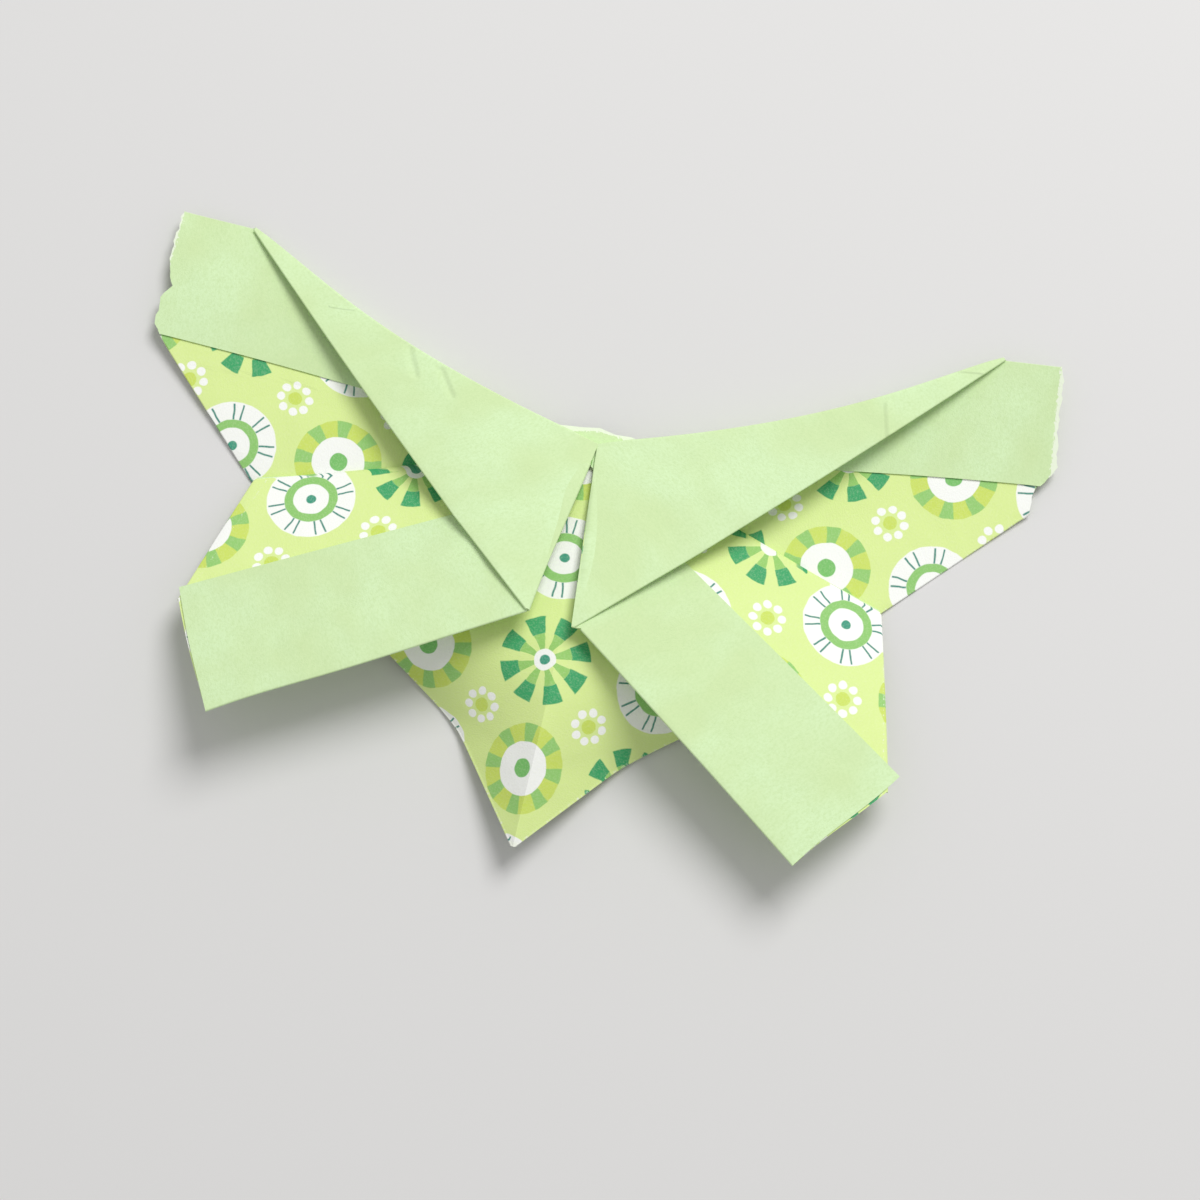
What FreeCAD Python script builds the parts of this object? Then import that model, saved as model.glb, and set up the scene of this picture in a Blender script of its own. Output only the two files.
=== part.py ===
"""Butterfly folded from one rectangular sheet of printed paper.

A rectangular waterbomb base: the sheet's centre is the tail tip, both diagonals and the median
are creased, and both short ends carry a hem.  The front corners are folded back down along the
lines from the head to the wing notches, which makes the hindwings, and the paper freed beside
the head lies flat as two narrow triangles.  The tail curves down from the centre flap and its two
sides steepen toward the tip.  The butterfly rests print up on the edge of its tail and on the two
torn corners at the back of its forewings.

Points on the flat sheet are (u, v) in mm, measured from the sheet's centre: u along the long
side, v along the short side, v positive toward the torn edge.  SIDES gives left -1 and right +1.
Every plane of the folded sheet has a chart, which carries (u, v) into space.
"""
import math
import os

import FreeCAD
import Part
from FreeCAD import Rotation, Vector

# The sheet
THICK = 0.15            # paper
PITCH = 0.32            # from one pressed layer to the next, middle to middle
HALF_SHORT = 65.7       # half of the sheet's short side
HEM_FOLD_TORN = {-1: 89.3, 1: 88.7}   # hem fold's distance from the centre at the torn edge
HEM_FOLD_CUT = {-1: 84.2, 1: 83.4}    # the same at the clean edge
HEM_RAW_TORN = {-1: 70.7, 1: 70.8}    # where the hem's raw edge lies at the torn edge
HEM_RAW_CUT = {-1: 62.7, 1: 62.3}     # the same at the clean edge
CUT_FAR = {-1: 66.8, 1: 66.7}         # distance of the clean edge from the centre at the hem fold
TORN_FOLD = {-1: (70.3, 68.1), 1: (66.8, 66.6)}   # where the diagonal fold reaches the torn edge
# (u, v) points of the torn edge across each forewing's tip, from the hem's raw edge to its fold
TEAR = {-1: ((70.7, 68.3), (72.0, 69.5), (77.5, 69.0), (78.6, 68.5), (82.0, 68.9), (89.4, 68.8)),
        1: ((70.8, 67.1), (72.2, 68.6), (80.0, 68.0), (88.7, 67.2))}
RAGGED = 0.25                         # how far the tear behind the head strays from its line
TEAR_STEP = 2.6                       # from one point of that tear to the next
BOW = {-1: 2.9, 1: 2.1}               # how far the front edge of each forewing bows inward
BOW_PARTS = 5                         # straight runs that make up the bow

# The folds
HEAD = 62.5                       # tail tip to head along the axis
NOTCH = {-1: 49.6, 1: 46.0}       # notch between the wings, along u and along v
CORNER = {-1: 57.2, 1: 57.8}      # v where the narrow triangle's outer fold meets the hem fold
POINT = {-1: -18.8, 1: -21.4}     # v of the narrow triangle's lower point, on the hem fold
TUCK = 1.9                        # half-width of the small tuck that gathers the clean edge at the head

# How far the folds are open, degrees
ROOF = {-1: 15.2, 1: -1.3}        # slope of each side of the centre flap away from its ridge
ROOF_TIP = {-1: 43.0, 1: 24.0}    # the same at the tail tip
DROP = 22.0                       # fall of the ridge at the tail tip
WING_BEND = {-1: 12.2, 1: 11.8}   # forewing against the centre flap
HIND_LIFT = {-1: 19.2, 1: 16.2}   # hindwing above the forewing's plane

# The tail, by distance from its tip along the axis
RIDGE_BEND = (14.0, 34.0)         # where the ridge curves down
STEEPEN = (12.0, 34.0)            # where the sides steepen
STATIONS = (3.0, 8.0, 13.0, 17.0, 21.0, 25.0, 29.0, 34.0)   # sections of the tail
BEND = STATIONS[-1]               # where the tail meets the flat part of the centre flap
BLUNT = 0.4                       # the pressed tip's end
TAIL_FOOT = 17.0                  # where the tail's steeper edge touches the floor, along u and along v

SIDES = (-1, 1)
REACH = 3.0             # spare width that the mitre planes trim away
NEST = 0.4              # how far a fold lies inside the fold that wraps it


def hem_fold(side, v):
    """Distance of the hem's fold from the centre at height v."""
    cut = HEM_FOLD_CUT[side]
    return cut + (HEM_FOLD_TORN[side] - cut) * (v + HALF_SHORT) / (2 * HALF_SHORT)


def hem_raw(side, v):
    """Distance of the hem's raw edge from the centre at height v."""
    cut = HEM_RAW_CUT[side]
    return cut + (HEM_RAW_TORN[side] - cut) * (v + HALF_SHORT) / (2 * HALF_SHORT)


def front_edge(side, way, first=0.0):
    """Points of the forewing's front fold, bowed by a parabola, from a share of its length to the hem fold.

    `way` is 1 for the forewing's side of the fold and -1 for the narrow triangle's.
    """
    end = (side * hem_fold(side, CORNER[side]), CORNER[side])
    across = (end[0] - side * HEAD, end[1])
    length = math.hypot(*across)
    points = []
    for i in range(BOW_PARTS + 1):
        p = first + (1 - first) * i / BOW_PARTS
        bow = 4 * p * (1 - p) * BOW[side] * side * way / length
        points.append((side * HEAD + across[0] * p - across[1] * bow, across[1] * p + across[0] * bow))
    return points


def tear(start, end):
    """Points of the torn edge between two points: it strays to and fro from the line."""
    across = (end[0] - start[0], end[1] - start[1])
    length = math.hypot(*across)
    count = int(length / TEAR_STEP)
    points = []
    for i in range(1, count):
        stray = RAGGED * (0.6 * math.sin(1.7 * i) + 0.4 * math.sin(4.1 * i)) / length
        points.append((start[0] + across[0] * i / count - across[1] * stray,
                       start[1] + across[1] * i / count + across[0] * stray))
    return points


def turned(vector, axis, degrees):
    """The vector turned about an axis."""
    return Rotation(axis, degrees).multVec(vector)


class Chart:
    """A plane of the folded sheet: sheet point `at` lies at `origin`, with u and v along two directions."""

    def __init__(self, origin, at, along_u, along_v, normal):
        self.origin = origin
        self.at = at
        self.along_u = along_u
        self.along_v = along_v
        self.normal = normal

    def place(self, point, level=0.0):
        """Where a sheet point lies on the layer that is `level` steps above the plane."""
        du = point[0] - self.at[0]
        dv = point[1] - self.at[1]
        return self.origin + self.along_u * du + self.along_v * dv + self.normal * (level * PITCH)


def chart_through(at_a, at_b, point_a, point_b, normal, mirrored):
    """Chart of the plane with this normal that takes the sheet line a-b to the line between two points."""
    along = Vector(at_b[0] - at_a[0], at_b[1] - at_a[1], 0).normalize()
    run = (point_b - point_a).normalize()
    cross = normal.cross(run) * (-1 if mirrored else 1)
    along_u = run * along.x - cross * along.y
    along_v = run * along.y + cross * along.x
    return Chart(point_a, at_a, along_u, along_v, normal)


def plate(chart, outline, level):
    """One layer: a flat plate with this outline, centred on its level."""
    points = [chart.place(point, level) - chart.normal * (THICK / 2) for point in outline]
    face = Part.Face(Part.makePolygon(points + points[:1]))
    return face.extrude(chart.normal * THICK)


def edge_pad(chart, level, start, end, inside, toward):
    """The strip just outside a fold line, on the side of the layer that faces the other layer."""
    first = chart.place(start, level)
    second = chart.place(end, level)
    run = (second - first).normalize()
    out = run.cross(chart.normal)
    if out.dot(chart.place(inside, level) - first) > 0:
        out = out * -1
    face = chart.normal * (THICK / 2 * (-1 if toward < 0 else 1))
    corners = [first + face, second + face, second + face + out * THICK, first + face + out * THICK]
    lip_points = [corner - face * 2 for corner in corners]
    lip = Part.makeLoft([Part.makePolygon(lip_points + lip_points[:1]),
                         Part.makePolygon(corners + corners[:1])], True, True)
    return Part.makePolygon(corners + corners[:1]), lip


def fold(lower, upper):
    """A sharp fold: a lip on each layer and the wall that joins the lips.

    Each layer is (chart, level, start, end, inside); the lower one faces up and the upper one down.
    """
    low_wire, low_lip = edge_pad(*lower, 1)
    high_wire, high_lip = edge_pad(*upper, -1)
    wall = Part.makeLoft([low_wire, high_wire], True, True)
    return [low_lip, wall, high_lip]


def mitred(solid, line_start, line_end, normal_sum, keep):
    """The solid cut back to the plane through a bend line that halves the bend's angle."""
    run = (line_end - line_start).normalize()
    out = run.cross(normal_sum.normalize())
    if out.dot(keep - line_start) < 0:
        out = out * -1
    size = 400.0
    corner = line_start - run * size / 2 - normal_sum * size / 2
    base = [corner, corner + run * size, corner + run * size + normal_sum * size, corner + normal_sum * size]
    block = Part.Face(Part.makePolygon(base + base[:1])).extrude(out * size)
    return solid.common(block)


def moved(outline, amounts):
    """The outline with some edges moved outward, by the amounts given under their numbers."""
    count = len(outline)
    area = sum(outline[i][0] * outline[(i + 1) % count][1] - outline[(i + 1) % count][0] * outline[i][1]
               for i in range(count))
    turn = 1 if area > 0 else -1
    lines = []
    for i in range(count):
        start = Vector(outline[i][0], outline[i][1], 0)
        step = Vector(outline[(i + 1) % count][0], outline[(i + 1) % count][1], 0) - start
        step.normalize()
        out = Vector(step.y, -step.x, 0) * turn
        lines.append((start + out * amounts.get(i, 0.0), step))
    points = []
    for i in range(count):
        start, step = lines[i - 1]
        other, along = lines[i]
        gap = other - start
        t = (gap.x * along.y - gap.y * along.x) / (step.x * along.y - step.y * along.x)
        points.append((start.x + step.x * t, start.y + step.y * t))
    return points


def raw_crossing(side, start, end):
    """Where the hem's raw edge crosses the fold from start to end."""
    before = abs(start[0]) - hem_raw(side, start[1])
    after = abs(end[0]) - hem_raw(side, end[1])
    t = before / (before - after)
    return (start[0] + (end[0] - start[0]) * t, start[1] + (end[1] - start[1]) * t)


# The tail -----------------------------------------------------------------------------------

def ridge(y):
    """Point of the ridge y from the tip along the sheet, and the direction square to it that leans up."""
    near, far = RIDGE_BEND
    drop = math.radians(DROP)
    radius = (far - near) / drop
    angle = min(max((far - y) / radius, 0.0), drop)
    straight = max(near - y, 0.0)
    along = far + max(y - far, 0.0) - radius * math.sin(angle) - straight * math.cos(drop)
    height = -radius * (1 - math.cos(angle)) - straight * math.sin(drop)
    return Vector(0, along, height), Vector(0, -math.sin(angle), math.cos(angle))


def slope(side, y):
    """Slope of one side away from the ridge, in radians, easing from ROOF to ROOF_TIP."""
    steep, gentle = STEEPEN
    t = min(max((gentle - y) / (gentle - steep), 0.0), 1.0)
    return math.radians(ROOF[side] + (ROOF_TIP[side] - ROOF[side]) * t * t * (3 - 2 * t))


def section_point(side, y, x, offset):
    """Point of the tail's section at y: x down the side from the ridge, offset from its middle surface."""
    origin, up = ridge(y)
    r = slope(side, y)
    return (origin + Vector(side * (x * math.cos(r) + offset * math.sin(r)), 0, 0)
            + up * (offset * math.cos(r) - x * math.sin(r)))


def ridge_point(y, offset):
    """Where both sides' surfaces at this offset meet: the halving direction of their normals."""
    origin, up = ridge(y)
    left = Vector(-math.sin(slope(-1, y)), 0, 0) + up * math.cos(slope(-1, y))
    right = Vector(math.sin(slope(1, y)), 0, 0) + up * math.cos(slope(1, y))
    return origin + (left + right) * (offset / (1 + left.dot(right)))


def loop(y, top, bottom, side_points):
    """Closed wire of a section: the ridge above, the right side down, the ridge below, the left side up."""
    right = [section_point(1, y, x, offset) for x, offset in side_points(1)]
    left = [section_point(-1, y, x, offset) for x, offset in side_points(-1)]
    points = [ridge_point(y, top)] + right + [ridge_point(y, bottom)] + left[::-1]
    return Part.makePolygon(points + points[:1])


def axis_wall(side, y):
    """Inner face of the fold beside the axis, far enough out to clear the other side's."""
    r = slope(side, y)
    return max(NEST - THICK, (0.05 + (2 * PITCH + THICK / 2) * math.sin(r)) / math.cos(r))


def outer_loop(y):
    """The four layers' outline, with the open slot between the upper pair and the lower pair."""
    half = THICK / 2
    edge = y + THICK * math.sqrt(2)
    return loop(y, half, -3 * PITCH - half, lambda side: [
        (edge, half), (edge, -PITCH - half), (axis_wall(side, y) + THICK, -PITCH - half),
        (axis_wall(side, y) + THICK, half - 2 * PITCH), (edge, half - 2 * PITCH), (edge, -3 * PITCH - half)])


def inner_loop(y):
    """The gap inside: under the front layer, down between the two folds at the axis, over the back layer."""
    half = THICK / 2
    return loop(y, -half, half - 3 * PITCH, lambda side: [
        (y, -half), (y, half - PITCH), (axis_wall(side, y), half - PITCH),
        (axis_wall(side, y), -2 * PITCH - half), (y, -2 * PITCH - half), (y, half - 3 * PITCH)])


def tip_loop(y, bottom):
    """The pressed tip: the same outline without the slots, down to the offset `bottom`."""
    half = THICK / 2
    edge = y + THICK * math.sqrt(2)
    return loop(y, half, bottom, lambda side: [(edge, half), (edge, bottom)])


# Charts -------------------------------------------------------------------------------------

head = Vector(0, HEAD, 0)
bend = Vector(0, BEND, 0)
UP = Vector(0, 0, 1)

flap, fore, hind, narrow = {}, {}, {}, {}
notch3, knee3, corner3, point3 = {}, {}, {}, {}
lower_point = {}
for side in SIDES:
    normal = turned(UP, Vector(0, 1, 0), side * ROOF[side])
    across = turned(Vector(1, 0, 0), Vector(0, 1, 0), side * ROOF[side])
    flap[side] = Chart(head, (0, -HEAD), across, Vector(0, -1, 0), normal)
    notch3[side] = flap[side].place((side * NOTCH[side], -NOTCH[side]))
    knee3[side] = flap[side].place((side * BEND, -BEND))
    hinge = (notch3[side] - head).normalize()
    fore_normal = turned(normal, hinge, side * WING_BEND[side])
    fore[side] = chart_through((side * HEAD, 0), (side * NOTCH[side], NOTCH[side]),
                               head, notch3[side], fore_normal, True)
    hind_normal = turned(fore_normal, hinge, -side * HIND_LIFT[side])
    hind[side] = chart_through((side * HEAD, 0), (side * NOTCH[side], -NOTCH[side]),
                               head, notch3[side], hind_normal, True)
    lower_point[side] = (side * hem_fold(side, POINT[side]), POINT[side])
    corner = (side * hem_fold(side, CORNER[side]), CORNER[side])
    corner3[side] = fore[side].place(corner, 1)
    point3[side] = hind[side].place(lower_point[side], 5)
    crown = head + UP * (4 * PITCH)
    narrow_normal = (corner3[side] - crown).cross(point3[side] - crown).normalize()
    if narrow_normal.z < 0:
        narrow_normal = narrow_normal * -1
    narrow[side] = chart_through((side * HEAD, 0), corner, crown, corner3[side], narrow_normal, False)

# Plates and folds ---------------------------------------------------------------------------

pieces = []
fore_ridge = fore[-1].normal.cross(fore[1].normal).normalize()
if fore_ridge.y < 0:
    fore_ridge = fore_ridge * -1
for side in SIDES:
    n = NOTCH[side]
    corner = (side * hem_fold(side, CORNER[side]), CORNER[side])
    lower = lower_point[side]
    head_at = (side * HEAD, 0)
    notch_at = (side * n, -n)
    head_flap = (0, -HEAD)
    knee = (side * BEND, -BEND)
    bend_flap = (0, -BEND)
    wing_sum = flap[side].normal + fore[side].normal
    ridge_sum = flap[-1].normal + flap[1].normal
    fore_ridge_sum = fore[-1].normal + fore[1].normal
    flap_point = flap[side].place((side * 15, -35))
    wing_point = fore[side].place((side * 75, 40))

    # Centre flap, front to back: printed front, its lining, and the two layers behind.
    # The front and the back run across the axis; the two inner layers meet in a fold beside it.
    for level in (0, -1, -2, -3):
        across_axis = level in (0, -3)
        at_axis = REACH if across_axis else -NEST
        at_wing = REACH if level < -1 else (-NEST if level == 0 else 0)
        outline = moved([bend_flap, knee, notch_at, head_flap], {2: at_wing, 3: at_axis})
        shape = plate(flap[side], outline, level)
        if across_axis:
            shape = mitred(shape, bend, head, ridge_sum, flap_point)
        if level < -1:
            shape = mitred(shape, head, notch3[side], wing_sum, flap_point)
        pieces.append(shape)

    # Forewing: printed layer, the layer behind it, and the hem on the print
    near_corner = (side * TORN_FOLD[side][0], TORN_FOLD[side][1])
    tip_tear = [(side * u, v) for u, v in TEAR[side]]
    far_corner = tip_tear[-1]
    torn_middle = (side * HALF_SHORT, 0)
    fore_notch = (side * n, n)
    wing_front = front_edge(side, 1)
    narrow_front = front_edge(side, -1)
    spare = (head_at[0] - side * REACH, head_at[1] - REACH)
    outline = wing_front + tip_tear[:1:-1] + [near_corner, fore_notch, spare]
    pieces.append(mitred(plate(fore[side], outline, -2), head, notch3[side], wing_sum, wing_point))
    spare = (head_at[0] - side * REACH, head_at[1] - REACH)
    beyond = (torn_middle[0], -REACH)
    outline = [fore_notch, near_corner] + tear(near_corner, torn_middle) + [torn_middle, beyond, spare]
    shape = mitred(plate(fore[side], outline, -3), head, notch3[side], wing_sum, wing_point)
    pieces.append(mitred(shape, head, head + fore_ridge, fore_ridge_sum, wing_point))
    raw_high = raw_crossing(side, head_at, corner)
    raw_share = (raw_high[1]) / corner[1]
    tucked = {i: -NEST for i in range(BOW_PARTS)}
    outline = front_edge(side, 1, raw_share) + tip_tear[::-1]
    pieces.append(plate(fore[side], moved(outline, tucked), -1))

    # Narrow triangle beside the head: the sheet turned over, with its hem beneath
    raw_low = raw_crossing(side, head_at, lower)
    pieces.append(plate(narrow[side], narrow_front + [lower], 0))
    outline = front_edge(side, -1, raw_share) + [lower, raw_low]
    tucked[BOW_PARTS + 1] = -NEST
    pieces.append(plate(narrow[side], moved(outline, tucked), -1))

    # Hindwing: printed layer on top, the front corner behind it, and the hem on the print
    cut_corner = (side * (HALF_SHORT - 0.5), -HALF_SHORT - 0.5)
    hem_corner = (side * hem_fold(side, -CUT_FAR[side]), -CUT_FAR[side])
    pieces.append(plate(hind[side], [head_at, lower, hem_corner, cut_corner, notch_at], 2))
    outline = moved([head_at, (side * HALF_SHORT, -TUCK), cut_corner, notch_at], {3: -NEST})
    pieces.append(plate(hind[side], outline, 1))
    outline = [raw_low, lower, hem_corner, (side * HEM_RAW_CUT[side], -HALF_SHORT)]
    pieces.append(plate(hind[side], moved(outline, {0: -NEST}), 3))

    # The folds, each from its lower layer to its upper one
    inner_head = moved([bend_flap, knee, notch_at, head_flap], {2: -NEST})
    inner_hind = moved([head_at, (side * HALF_SHORT, -TUCK), cut_corner, notch_at], {3: -NEST})
    flap_in = (side * 15, -40)
    wing_in = (side * 72, 40)
    hind_in = (side * 66, -50)
    high_in = (side * 75, 15)
    pieces += fold((fore[side], -2, corner, far_corner, wing_in),
                   (fore[side], -1, corner, far_corner, wing_in))
    pieces += fold((fore[side], -3, fore_notch, near_corner, wing_in),
                   (fore[side], -2, fore_notch, near_corner, wing_in))
    for i in range(BOW_PARTS):
        pieces += fold((fore[side], -2, wing_front[i], wing_front[i + 1], wing_in),
                       (narrow[side], 0, narrow_front[i], narrow_front[i + 1], high_in))
    pieces += fold((narrow[side], -1, corner, lower, high_in), (narrow[side], 0, corner, lower, high_in))
    pieces += fold((hind[side], 2, head_at, lower, hind_in), (narrow[side], 0, head_at, lower, high_in))
    pieces += fold((hind[side], 2, lower, hem_corner, hind_in), (hind[side], 3, lower, hem_corner, hind_in))
    pieces += fold((hind[side], 1, notch_at, cut_corner, hind_in),
                   (hind[side], 2, notch_at, cut_corner, hind_in))
    pieces += fold((flap[side], -1, head_flap, notch_at, flap_in),
                   (hind[side], 2, head_at, notch_at, hind_in))
    pieces += fold((flap[side], 0, inner_head[3], inner_head[2], flap_in),
                   (hind[side], 1, inner_hind[0], inner_hind[3], hind_in))
    axis_in = (side * NEST, -BEND)
    axis_head = (side * NEST, -HEAD)
    pieces += fold((flap[side], -2, axis_in, axis_head, flap_in),
                   (flap[side], -1, axis_in, axis_head, flap_in))
    before = (side * (BEND - 1), 1 - BEND)
    for low in (-1, -3):
        for piece in fold((flap[side], low, before, notch_at, flap_in),
                          (flap[side], low + 1, before, notch_at, flap_in)):
            pieces.append(mitred(piece, bend, knee3[side], flap[side].normal, flap_point))

# Tail: all its layers in one ring of sections, and the pressed tip
pieces.append(Part.makeLoft([outer_loop(y) for y in STATIONS], True, True).cut(
    Part.makeLoft([inner_loop(y) for y in STATIONS], True, True)))
full = -3 * PITCH - THICK / 2
pieces.append(Part.makeLoft([tip_loop(BLUNT, -PITCH), tip_loop(STATIONS[0], full)], True, True))

butterfly = pieces[0].multiFuse(pieces[1:]).Solids[0]

# Stand it on the tail's steeper edge and the two torn corners, its base centred on the origin
feet = [section_point(-1, TAIL_FOOT, TAIL_FOOT + THICK * math.sqrt(2), full)]
for side in SIDES:
    torn_corner = (side * TORN_FOLD[side][0], TORN_FOLD[side][1])
    feet.append(fore[side].place(torn_corner, -3) - fore[side].normal * (THICK / 2))
floor_normal = (feet[2] - feet[0]).cross(feet[1] - feet[0]).normalize()
butterfly.Placement = FreeCAD.Placement(Vector(0, 0, 0), Rotation(floor_normal, UP))
places = [vertex.Point for vertex in butterfly.Vertexes]
middle_x = (min(p.x for p in places) + max(p.x for p in places)) / 2
middle_y = (min(p.y for p in places) + max(p.y for p in places)) / 2
butterfly.translate(Vector(-middle_x, -middle_y, -min(p.z for p in places)))

os.makedirs("parts", exist_ok=True)
butterfly.exportStep("parts/folded_sheet.step")
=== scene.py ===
"""Butterfly folded from one rectangular sheet of printed paper, seen from above on a pale table.

Everything is worked out on the flat sheet first.  A sheet point is (u, v) in mm from the sheet's
centre, u along the long side and v along the short side, with v positive toward the torn edge.
SIDES gives left -1 and right +1.  Each facet between two folds is a grid of sheet points that its
place function carries into space: the curved centre flap, or the plane of a wing, curled and
twisted.  A half-round strip then turns each folded edge.  All of it is one mesh of the sheet's
middle surface, which gets the paper's thickness at the end.
"""
from types import SimpleNamespace

import bmesh
import bpy
import numpy as np
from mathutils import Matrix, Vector


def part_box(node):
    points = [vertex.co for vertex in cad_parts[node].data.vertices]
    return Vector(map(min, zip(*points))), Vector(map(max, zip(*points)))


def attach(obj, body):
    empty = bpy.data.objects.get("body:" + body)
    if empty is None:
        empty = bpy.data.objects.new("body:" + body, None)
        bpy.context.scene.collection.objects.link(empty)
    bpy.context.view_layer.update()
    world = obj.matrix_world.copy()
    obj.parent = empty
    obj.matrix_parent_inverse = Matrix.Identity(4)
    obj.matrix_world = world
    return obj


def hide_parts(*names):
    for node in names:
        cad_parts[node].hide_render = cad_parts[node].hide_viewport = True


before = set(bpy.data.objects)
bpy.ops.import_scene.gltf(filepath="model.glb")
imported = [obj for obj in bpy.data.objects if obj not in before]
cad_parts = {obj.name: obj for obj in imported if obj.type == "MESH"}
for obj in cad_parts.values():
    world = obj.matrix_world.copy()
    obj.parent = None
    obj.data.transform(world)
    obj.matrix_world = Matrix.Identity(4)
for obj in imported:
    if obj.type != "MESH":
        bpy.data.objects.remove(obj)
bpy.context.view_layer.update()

MM = 0.001                         # metres in a millimetre; sizes below are in mm and degrees
SIDES = (-1, 1)                    # left and right; a pair {-1: ..., 1: ...} is one value for each

# The sheet's outline and hems
THICK = 0.15                       # paper
HALF = 65.7                        # half of the short side
HEM_TORN = {-1: 89.4, 1: 88.4}     # hem fold from the centre, at the torn edge
HEM_CUT = {-1: 84.7, 1: 82.8}      # the same at the clean edge
RAW_TORN = {-1: 69.7, 1: 70.2}     # where the hem's raw edge lies, at the torn edge
RAW_CUT = {-1: 63.4, 1: 62.3}      # the same at the clean edge
RAW_BOW = {-1: 1.0, 1: 0.7}        # and how far it bows toward the centre between them
CUT_FAR = {-1: 66.8, 1: 66.7}      # distance of the clean edge from the centre, at the hem fold

# The torn edge
TORN_HEAD = {-1: 66.2, 1: 66.0}    # its distance from the centre behind the head
TORN_FOLD = {-1: (69.5, 67.3), 1: (66.0, 65.9)}   # where the diagonal fold reaches it
# On the forewing's tips: v of the edge at growing distances u from the centre
TEAR = {-1: ((69.5, 70.5, 71.4, 75.3, 76.4, 77.4, 78.4, 80.2, 83.1, 86.1, 88.2, 89.7),
             (67.3, 68.15, 68.5, 68.3, 68.0, 67.05, 67.4, 68.05, 68.2, 68.0, 67.7, 67.6)),
        1: ((66, 69.8, 71.0, 72.1, 73.1, 75.8, 79.4, 83.1, 85.8, 87.6, 89),
            (66.2, 66.3, 67.4, 68.2, 68.6, 68.3, 67.8, 67.55, 67.35, 66.9, 66.7))}
TIP_U = 66.0                       # distance from the centre past which the edge follows TEAR
TIP_V = 66.0                       # least v of the edge there
RAGGED = 0.12                      # fine raggedness
TEAR_SHORT = 0.35                  # how far the layer under the hem ends inside the tear
TEAR_GROWS = 4.0                   # length over which that layer's edge joins the tear

# The folds
HEAD = 62.5                        # tail tip to head along the axis
NOTCH = {-1: 49.6, 1: 46.0}        # notch between the wings, along u and along v
CORNER = {-1: 57.2, 1: 57.8}       # v where the narrow triangle's outer fold meets the hem fold
POINT = {-1: -18.8, 1: -21.4}      # v of the narrow triangle's lower point, on the hem fold
TUCK = 1.9                         # half-width of the tuck that gathers the clean edge at the head
CUT_SHIFT = 0.5                    # how far the hindwing's inner corner lies off the exact crease pattern

# How far the folds stand open, in degrees
ROOF = {-1: 15.2, 1: -1.3}         # slope of the centre flap away from its ridge
ROOF_TIP = {-1: 43.0, 1: 24.0}     # the same at the tail tip
DROP = 22.0                        # fall of the ridge toward the tail tip
WING_BEND = {-1: 7.9, 1: 7.3}      # forewing against the centre flap
HIND_LIFT = {-1: 16.3, 1: 13.7}    # hindwing above the forewing's plane
# Where the centre flap's ridge bends and its sides steepen, from the tail tip
RIDGE_BEND = (14.0, 34.0)
STEEPEN = (12.0, 34.0)

# How the wings curl and twist about their hinges, the lines from the head to the notches
RISE_AT = 40.0                     # distance from the hinge, and length along it, for the next four
FORE_CURL = {-1: -2.3, 1: 2.9}     # rise of the forewing at that distance
HIND_CURL = {-1: -1.6, 1: -2.7}    # the same for the hindwing
FORE_TWIST = {-1: 8.2, 1: 3.2}     # how much more the forewing rises there for that length
HIND_TWIST = {-1: -1.4, 1: -1.5}   # the same for the hindwing
TWIST_MIDDLE = 25.0                # way along the hinge from the head where the twist lifts nothing

# How far the wings lie off the exact crease pattern
FORE_SLIP = {-1: 0.4, 1: -0.4}     # the forewing, along v
FORE_SLIP_START = 12.0             # distance from the head over which that grows
SLIP = {-1: (-0.9, 1.3, 2.8), 1: (-0.2, -0.4, -1.7)}   # the hindwing: along u, along v, degrees
SLIP_END_U = (62.0, 80.0)          # distances from the centre between which that fades
SLIP_END_V = (24.0, 8.0)           # and the same for -v

# Bent edges and old creases
BOW = {-1: 2.5, 1: 2.5}            # how far the front edge of each forewing bows inward
BOW_REACH = 12.0                   # distance over which the bow fades
SAG = {-1: 1.6, 1: 1.2}            # how far the narrow triangle's free edge hangs
MEDIAN = {-1: 0.45, 1: 0.25}       # depth of the old median crease across the narrow triangle
MEDIAN_REACH = 6.0                 # distance over which it fades
# A soft ridge on the left hindwing: a sheet point on it, its direction, height and width, and the
# distances from the centre between which it grows
RIDGE_AT = (-84.4, -59.9)
RIDGE_WAY = (0.328, 0.944)
RIDGE_HEIGHT = 0.9
RIDGE_WIDE = 4.0
RIDGE_GROWS = (60.0, 80.0)

# Layers and the rounds between them
PITCH = 0.25                       # between pressed layers, middle to middle
NEST = 0.35                        # how far a fold lies inside the one that wraps it
BULGE = 0.5                        # most that a fold's round stands out past its facets
HEAD_CLOSE = 4.0                   # distance from the head over which the rounds close up
APART = 0.01                       # keeps the two narrow triangles' points at the head two vertices

# Sheet points that touch the floor: on the tail's steep edge, and under each forewing
TAIL_FOOT = 17.8                   # along u and along v
LEFT_FOOT = (-80.5, 38.8)
RIGHT_FOOT = (54.2, 54.2)

# The mesh
GRID = 28                          # steps along each edge of a facet
ROUND = 6                          # steps round each fold
MERGE = 0.002                      # vertices closer than this become one
SHARP = 18                         # edges that turn more than this many degrees stay sharp


# Sheet and folds ----------------------------------------------------------------------------

def hem_fold(side, v):
    """Distance of the hem's fold from the centre at height v: a straight line between its two ends."""
    return HEM_CUT[side] + (HEM_TORN[side] - HEM_CUT[side]) * (v + HALF) / (2 * HALF)


def hem_raw(side, v):
    """Distance of the hem's raw edge from the centre at height v: a line less RAW_BOW (1 - (v/HALF)^2)."""
    line = RAW_CUT[side] + (RAW_TORN[side] - RAW_CUT[side]) * (v + HALF) / (2 * HALF)
    return line - RAW_BOW[side] * (1 - (v / HALF) ** 2)


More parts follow.
